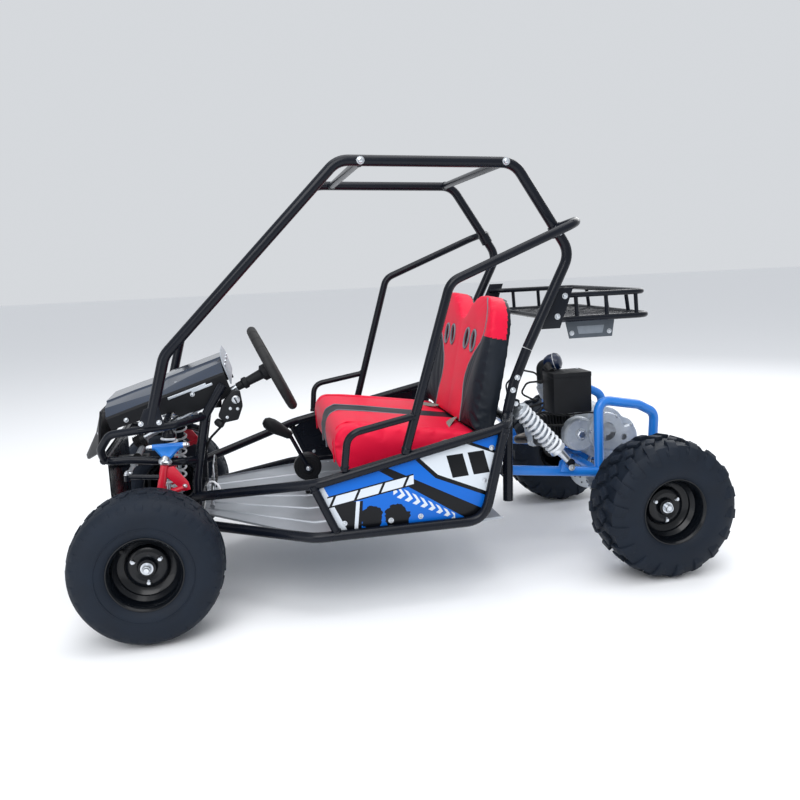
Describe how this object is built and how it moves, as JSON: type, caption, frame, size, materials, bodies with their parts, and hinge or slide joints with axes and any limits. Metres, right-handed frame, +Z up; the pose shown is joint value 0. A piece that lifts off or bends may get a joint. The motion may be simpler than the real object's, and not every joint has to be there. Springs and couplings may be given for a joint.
{
  "type": "kart chassis",
  "caption": "Off-road kart: tube frame with roll cage and bench seat, sprung front arms, rack steering and a swing arm carrying engine and driven axle.",
  "frame": {"origin": "middle of the footprint, on the ground plane that the four tyres stand on", "axes": "+X forward, +Y to the driver's left, +Z up"},
  "size_m": [1.859, 1.052, 1.2249],
  "materials": {
    "frame": "gloss black powder coat",
    "blue_paint": "gloss blue powder coat",
    "red_paint": "gloss red paint",
    "hood": "gloss dark blue moulded shell",
    "dash": "satin grey sheet",
    "floor": "satin rolled sheet",
    "graphic_panel": "printed panel, blue, white and black stripes",
    "seat_cover": "crimson vinyl with charcoal bolsters",
    "black_plastic": "moulded black plastic",
    "grip": "soft black grip",
    "tyre": "black tyre rubber",
    "rim": "gloss black steel",
    "steel": "bright zinc plate",
    "spring_white": "white powder coat",
    "engine_alloy": "cast alloy"
  },
  "bodies": {
    "chassis": {"front_frame": "frame", "seat_frame": "frame", "floor_pan": "floor", "hood": "hood", "nose_cowl": "hood", "dash_panel": "dash", "switch_box": "black_plastic", "seat_cushion": "seat_cover", "seat_back": "seat_cover", "luggage_rack": "frame", "roof_bar_front": "frame", "roof_bar_rear": "frame", "shifter_housing": "black_plastic", "cage_hoop_left": "frame", "side_frame_left": "frame", "side_panel_left": "graphic_panel", "side_hoop_left": "frame", "cage_hoop_right": "frame", "side_frame_right": "frame", "side_panel_right": "graphic_panel", "side_hoop_right": "frame"},
    "steering": {"steering_wheel": "grip", "steering_shaft": "steel"},
    "rack": {"steering_rack": "steel"},
    "swing": {"swing_arm": "blue_paint", "engine": "engine_alloy", "airbox": "black_plastic"},
    "drive_axle": {"rear_axle": "steel", "rear_rim_left": "rim", "rear_rim_right": "rim", "rear_tyre_left": "tyre", "rear_tyre_right": "tyre"},
    "brake": {"brake_pedal": "steel"},
    "throttle": {"throttle_pedal": "steel"},
    "shifter": {"shift_lever": "black_plastic"},
    "key": {"ignition_key": "steel"},
    "lower_arm_left": {"lower_arm_left": "frame"},
    "ball_joint_left": {"ball_joint_left": "grip"},
    "knuckle_left": {"knuckle_left": "red_paint"},
    "front_wheel_left": {"front_rim_left": "rim", "front_tyre_left": "tyre"},
    "upper_arm_left": {"upper_arm_left": "blue_paint"},
    "tie_rod_left": {"tie_rod_left": "steel"},
    "front_damper_left": {"front_shock_body_left": "steel"},
    "front_damper_rod_left": {"front_shock_rod_left": "steel"},
    "rear_damper_left": {"rear_shock_body_left": "steel", "rear_spring_left": "spring_white"},
    "rear_damper_rod_left": {"rear_shock_rod_left": "steel"},
    "lower_arm_right": {"lower_arm_right": "frame"},
    "ball_joint_right": {"ball_joint_right": "grip"},
    "knuckle_right": {"knuckle_right": "red_paint"},
    "front_wheel_right": {"front_rim_right": "rim", "front_tyre_right": "tyre"},
    "upper_arm_right": {"upper_arm_right": "blue_paint"},
    "tie_rod_right": {"tie_rod_right": "steel"},
    "front_damper_right": {"front_shock_body_right": "steel"},
    "front_damper_rod_right": {"front_shock_rod_right": "steel"},
    "rear_damper_right": {"rear_shock_body_right": "steel", "rear_spring_right": "spring_white"},
    "rear_damper_rod_right": {"rear_shock_rod_right": "steel"}
  },
  "joints": [
    {"name": "steering_turn", "type": "hinge", "parent": "chassis", "child": "steering", "pos_m": [0.3645, 0.17, 0.652], "axis": [-0.906, 0, 0.4233], "range_deg": [-105, 105]},
    {"name": "rack_slide", "type": "slide", "parent": "chassis", "child": "rack", "axis": [0, 1, 0], "range_m": [-0.034, 0.034]},
    {"name": "front_suspension_left", "type": "hinge", "parent": "chassis", "child": "lower_arm_left", "pos_m": [0.7215, 0.15, 0.19], "axis": [1, 0, 0], "range_deg": [-7, 7], "stiffness_Nm_per_rad": 450, "springref_deg": -5.73},
    {"name": "ball_joint_left_tilt", "type": "hinge", "parent": "lower_arm_left", "child": "ball_joint_left", "pos_m": [0.7305, 0.308, 0.16], "axis": [1, 0, 0], "range_deg": [-7.5, 7.5]},
    {"name": "steer_left", "type": "hinge", "parent": "ball_joint_left", "child": "knuckle_left", "pos_m": [0.7305, 0.308, 0.16], "axis": [-0.2155, 0, 0.9765], "range_deg": [-20, 20]},
    {"name": "front_wheel_left_spin", "type": "hinge", "parent": "knuckle_left", "child": "front_wheel_left", "pos_m": [0.7215, 0.438, 0.197], "axis": [0, 1, 0], "continuous": true},
    {"name": "upper_arm_left_swing", "type": "hinge", "parent": "chassis", "child": "upper_arm_left", "pos_m": [0.6665, 0.258, 0.466], "axis": [1, 0, 0], "range_deg": [-23, 23]},
    {"name": "tie_rod_left_tilt", "type": "hinge", "parent": "rack", "child": "tie_rod_left", "pos_m": [0.7715, 0.139, 0.401], "axis": [1, 0, 0], "range_deg": [-7.5, 7.5]},
    {"name": "front_damper_left_tilt", "type": "hinge", "parent": "chassis", "child": "front_damper_left", "pos_m": [0.6595, 0.215, 0.518], "axis": [1, 0, 0], "range_deg": [-1, 1]},
    {"name": "front_damper_left_stroke", "type": "slide", "parent": "front_damper_left", "child": "front_damper_rod_left", "axis": [0.0822, 0.0913, -0.9924], "range_m": [-0.013, 0.013]},
    {"name": "rear_damper_left_tilt", "type": "hinge", "parent": "chassis", "child": "rear_damper_left", "pos_m": [-0.3155, 0.3, 0.521], "axis": [0, 1, 0], "range_deg": [-3.5, 3.5]},
    {"name": "rear_damper_left_stroke", "type": "slide", "parent": "rear_damper_left", "child": "rear_damper_rod_left", "axis": [-0.6684, 0, -0.7438], "range_m": [-0.018, 0.018], "deforming": ["rear_spring_left"]},
    {"name": "front_suspension_right", "type": "hinge", "parent": "chassis", "child": "lower_arm_right", "pos_m": [0.7215, -0.15, 0.19], "axis": [-1, 0, 0], "range_deg": [-7, 7], "stiffness_Nm_per_rad": 450, "springref_deg": -5.73},
    {"name": "ball_joint_right_tilt", "type": "hinge", "parent": "lower_arm_right", "child": "ball_joint_right", "pos_m": [0.7305, -0.308, 0.16], "axis": [-1, 0, 0], "range_deg": [-7.5, 7.5]},
    {"name": "steer_right", "type": "hinge", "parent": "ball_joint_right", "child": "knuckle_right", "pos_m": [0.7305, -0.308, 0.16], "axis": [-0.2155, 0, 0.9765], "range_deg": [-20, 20]},
    {"name": "front_wheel_right_spin", "type": "hinge", "parent": "knuckle_right", "child": "front_wheel_right", "pos_m": [0.7215, -0.438, 0.197], "axis": [0, 1, 0], "continuous": true},
    {"name": "upper_arm_right_swing", "type": "hinge", "parent": "chassis", "child": "upper_arm_right", "pos_m": [0.6665, -0.258, 0.466], "axis": [-1, 0, 0], "range_deg": [-23, 23]},
    {"name": "tie_rod_right_tilt", "type": "hinge", "parent": "rack", "child": "tie_rod_right", "pos_m": [0.7715, -0.139, 0.401], "axis": [-1, 0, 0], "range_deg": [-7.5, 7.5]},
    {"name": "front_damper_right_tilt", "type": "hinge", "parent": "chassis", "child": "front_damper_right", "pos_m": [0.6595, -0.215, 0.518], "axis": [-1, 0, 0], "range_deg": [-1, 1]},
    {"name": "front_damper_right_stroke", "type": "slide", "parent": "front_damper_right", "child": "front_damper_rod_right", "axis": [0.0822, -0.0913, -0.9924], "range_m": [-0.013, 0.013]},
    {"name": "rear_damper_right_tilt", "type": "hinge", "parent": "chassis", "child": "rear_damper_right", "pos_m": [-0.3155, -0.3, 0.521], "axis": [0, 1, 0], "range_deg": [-3.5, 3.5]},
    {"name": "rear_damper_right_stroke", "type": "slide", "parent": "rear_damper_right", "child": "rear_damper_rod_right", "axis": [-0.6684, 0, -0.7438], "range_m": [-0.018, 0.018], "deforming": ["rear_spring_right"]},
    {"name": "rear_suspension", "type": "hinge", "parent": "chassis", "child": "swing", "pos_m": [-0.2945, 0, 0.306], "axis": [0, 1, 0], "range_deg": [-6, 6], "stiffness_Nm_per_rad": 3000, "springref_deg": -5.73},
    {"name": "drive_axle_spin", "type": "hinge", "parent": "swing", "child": "drive_axle", "pos_m": [-0.7265, 0, 0.203], "axis": [0, 1, 0], "continuous": true},
    {"name": "brake_press", "type": "hinge", "parent": "chassis", "child": "brake", "pos_m": [0.5615, 0.176, 0.264], "axis": [0, 1, 0], "range_deg": [0, 18], "stiffness_Nm_per_rad": 6, "springref_deg": -11.46},
    {"name": "throttle_press", "type": "hinge", "parent": "chassis", "child": "throttle", "pos_m": [0.5615, 0.096, 0.264], "axis": [0, 1, 0], "range_deg": [0, 18], "stiffness_Nm_per_rad": 6, "springref_deg": -11.46},
    {"name": "shift_throw", "type": "hinge", "parent": "chassis", "child": "shifter", "pos_m": [0.2665, 0.001, 0.306], "axis": [0, 1, 0], "range_deg": [-15, 15]},
    {"name": "key_turn", "type": "hinge", "parent": "chassis", "child": "key", "pos_m": [0.4725, 0.24, 0.578], "axis": [0, 1, 0], "range_deg": [0, 75]}
  ],
  "couplings": [
    {"joint": "rack_slide", "follows": "steering_turn", "m_per_rad": 0.017},
    {"joint": "ball_joint_left_tilt", "follows": "front_suspension_left", "ratio": -1},
    {"joint": "steer_left", "follows": "steering_turn", "ratio": 0.1833},
    {"joint": "upper_arm_left_swing", "follows": "front_suspension_left", "ratio": 3.16},
    {"joint": "tie_rod_left_tilt", "follows": "front_suspension_left", "ratio": 0.98},
    {"joint": "front_damper_left_tilt", "follows": "front_suspension_left", "ratio": 0.0205},
    {"joint": "front_damper_left_stroke", "follows": "front_suspension_left", "m_per_rad": -0.0945},
    {"joint": "rear_damper_left_tilt", "follows": "rear_suspension", "ratio": 0.449},
    {"joint": "rear_damper_left_stroke", "follows": "rear_suspension", "m_per_rad": -0.1593},
    {"joint": "ball_joint_right_tilt", "follows": "front_suspension_right", "ratio": -1},
    {"joint": "steer_right", "follows": "steering_turn", "ratio": 0.1833},
    {"joint": "upper_arm_right_swing", "follows": "front_suspension_right", "ratio": 3.16},
    {"joint": "tie_rod_right_tilt", "follows": "front_suspension_right", "ratio": 0.98},
    {"joint": "front_damper_right_tilt", "follows": "front_suspension_right", "ratio": 0.0205},
    {"joint": "front_damper_right_stroke", "follows": "front_suspension_right", "m_per_rad": -0.0945},
    {"joint": "rear_damper_right_tilt", "follows": "rear_suspension", "ratio": 0.449},
    {"joint": "rear_damper_right_stroke", "follows": "rear_suspension", "m_per_rad": -0.1593}
  ]
}
